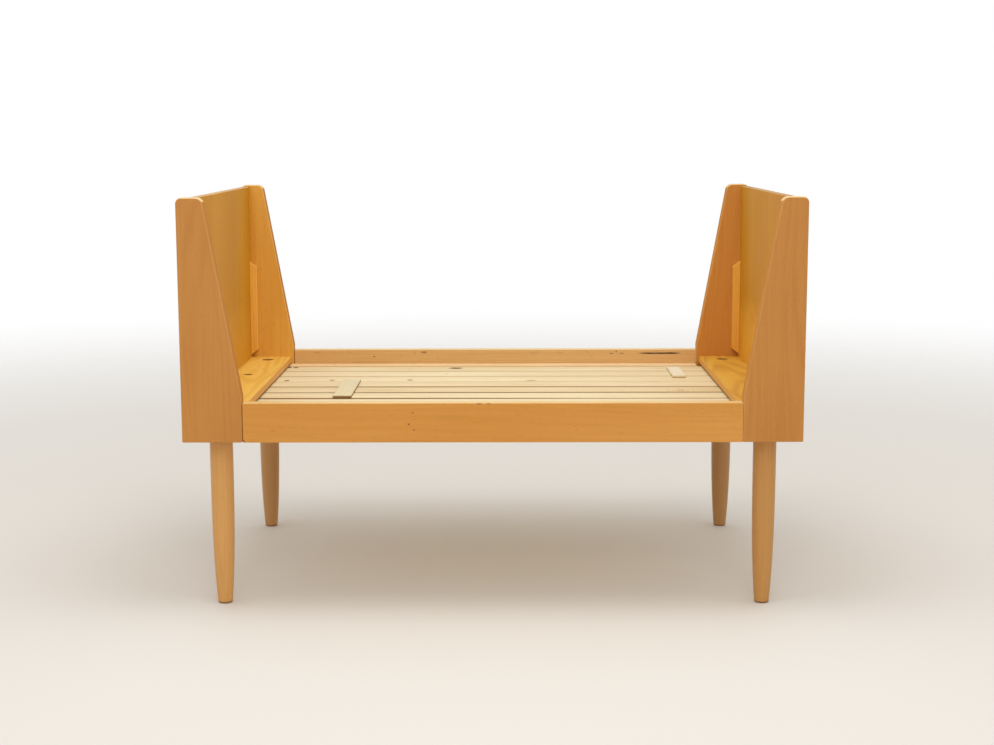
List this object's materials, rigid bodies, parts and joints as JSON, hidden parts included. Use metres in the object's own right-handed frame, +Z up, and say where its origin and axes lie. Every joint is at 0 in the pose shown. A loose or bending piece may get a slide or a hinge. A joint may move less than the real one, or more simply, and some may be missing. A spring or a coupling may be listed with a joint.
{
  "type": "bed frame",
  "caption": "Extending child's bed frame in light wood: two ends on tapered round legs, boxed side rails and interleaved lengthwise slats that slide, so that it draws out in length.",
  "frame": {"origin": "on the floor, at the middle of the bed's footprint when it is pushed together", "axes": "+X along the bed towards its fixed end (the right-hand one in the picture), +Y from the front rail to the rear rail, +Z up"},
  "size_m": [1.12, 0.76, 0.758],
  "materials": {
    "end_boards": "beech veneer, satin lacquer, slightly worn edges",
    "outer_rails": "beech veneer, satin lacquer",
    "panels": "plywood with a yellowish face veneer, matt lacquer",
    "plates": "plywood, broad figure, thin lacquer",
    "slats": "bare pine with a few small knots",
    "keepers": "bare pale wood",
    "legs": "turned beech, satin lacquer",
    "frame_pine": "planed softwood, bare",
    "fixings": "zinc-plated steel"
  },
  "bodies": {
    "right_end": {"rail_front": "outer_rails", "rail_rear": "outer_rails", "rail_ledge_front": "frame_pine", "rail_ledge_rear": "frame_pine", "rail_dowels": "frame_pine", "wing_front_right": "end_boards", "wing_rear_right": "end_boards", "headboard_right": "panels", "corner_block_front_right": "end_boards", "corner_block_rear_right": "end_boards", "end_plate_right": "plates", "plate_cleat_right": "frame_pine", "wing_cleat_front_right": "frame_pine", "wing_cleat_rear_right": "frame_pine", "leg_block_front_right": "frame_pine", "leg_block_rear_right": "frame_pine", "slat_ledge_right": "frame_pine", "leg_front_right": "legs", "leg_rear_right": "legs", "leg_bolts_right": "fixings", "leg_nuts_right": "fixings", "slat_1": "slats", "slat_3": "slats", "slat_5": "slats", "slat_7": "slats", "slat_9": "slats", "cross_tie": "frame_pine", "slat_bearer_right": "frame_pine", "bearer_packers_right": "frame_pine", "keeper_long": "keepers", "keeper_screws_long": "fixings", "slat_screws_right": "fixings"},
    "left_end": {"wing_front_left": "end_boards", "wing_rear_left": "end_boards", "headboard_left": "panels", "corner_block_front_left": "end_boards", "corner_block_rear_left": "end_boards", "end_plate_left": "plates", "plate_cleat_left": "frame_pine", "leg_block_front_left": "frame_pine", "leg_block_rear_left": "frame_pine", "slat_ledge_left": "frame_pine", "leg_front_left": "legs", "leg_rear_left": "legs", "leg_bolts_left": "fixings", "leg_nuts_left": "fixings", "inner_rail_front": "frame_pine", "inner_rail_rear": "frame_pine", "rail_screws": "fixings", "slat_2": "slats", "slat_4": "slats", "slat_6": "slats", "slat_8": "slats", "slat_bearer_left": "frame_pine", "bearer_packers_left": "frame_pine", "keeper_short": "keepers", "keeper_screws_short": "fixings", "slat_screws_left": "fixings"}
  },
  "joints": [
    {"name": "bed_extension", "type": "slide", "parent": "right_end", "child": "left_end", "axis": [-1, 0, 0], "range_m": [0, 0.72]}
  ]
}
